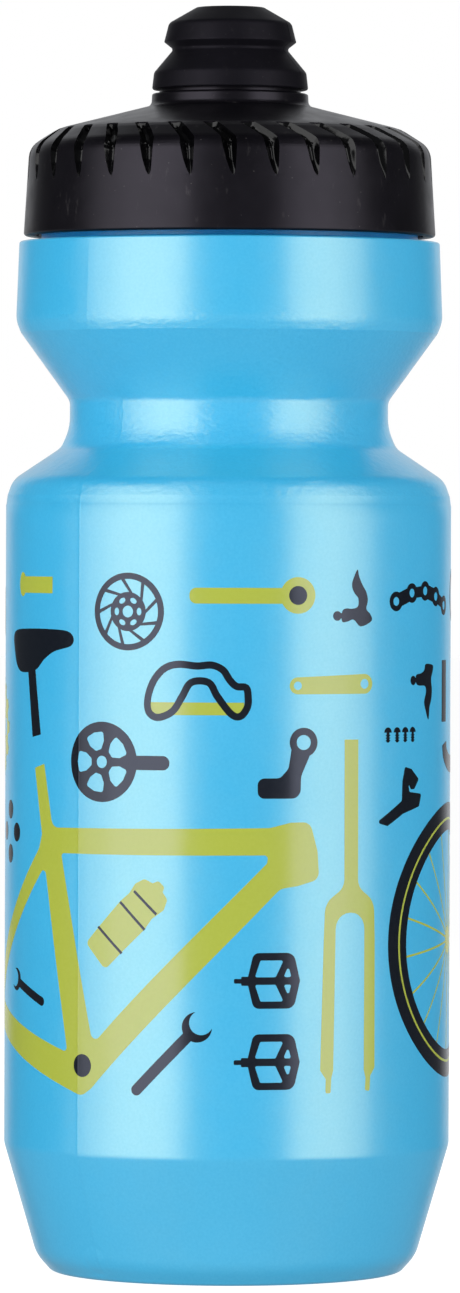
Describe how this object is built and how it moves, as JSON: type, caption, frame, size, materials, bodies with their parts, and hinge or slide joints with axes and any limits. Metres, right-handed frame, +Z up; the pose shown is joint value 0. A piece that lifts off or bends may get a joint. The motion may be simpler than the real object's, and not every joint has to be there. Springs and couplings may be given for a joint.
{
  "type": "water bottle",
  "caption": "Squeezable bicycle water bottle with a grip waist, a screw-on lid and a push-pull nozzle that slides on a spout and is plugged by a fixed pin.",
  "frame": {"origin": "middle of the base, on the surface that the bottle stands on", "axes": "+Z up along the bottle's axis of revolution, towards the nozzle; the printed front faces -Y"},
  "size_m": [0.0734, 0.0734, 0.208],
  "materials": {
    "bottle_plastic": "pearl blue squeezable polyethylene, soft gloss",
    "lid_plastic": "satin black polypropylene",
    "seal_silicone": "pale silicone",
    "insert_plastic": "black moulded plastic",
    "core_plastic": "black hard plastic",
    "o_ring_rubber": "black rubber",
    "valve_silicone": "milky silicone",
    "mouthpiece_rubber": "satin black soft plastic",
    "ink_black": "black screen-printed ink",
    "ink_lime": "lime screen-printed ink"
  },
  "bodies": {
    "bottle": {"bottle_body": "bottle_plastic"},
    "lid_ring": {"lid_seal": "seal_silicone"},
    "lid": {"lid_shell": "lid_plastic", "spout_stopper": "insert_plastic"},
    "nozzle_ring": {"nozzle_o_ring": "o_ring_rubber"},
    "nozzle": {"nozzle_core": "core_plastic", "slit_valve": "valve_silicone", "nozzle_mouthpiece": "mouthpiece_rubber"}
  },
  "joints": [
    {"name": "lid_lift", "type": "slide", "parent": "bottle", "child": "lid_ring", "axis": [0, 0, 1], "range_m": [0, 0.0125]},
    {"name": "lid_unscrew", "type": "hinge", "parent": "lid_ring", "child": "lid", "pos_m": [0, 0, 0.1834], "axis": [0, 0, 1], "range_deg": [0, 900]},
    {"name": "nozzle_pull", "type": "slide", "parent": "lid", "child": "nozzle_ring", "axis": [0, 0, 1], "range_m": [0, 0.0065]},
    {"name": "nozzle_spin", "type": "hinge", "parent": "nozzle_ring", "child": "nozzle", "pos_m": [0, 0, 0.1911], "axis": [0, 0, 1], "continuous": true}
  ],
  "couplings": [
    {"joint": "lid_lift", "follows": "lid_unscrew", "m_per_rad": 0.00079577}
  ]
}
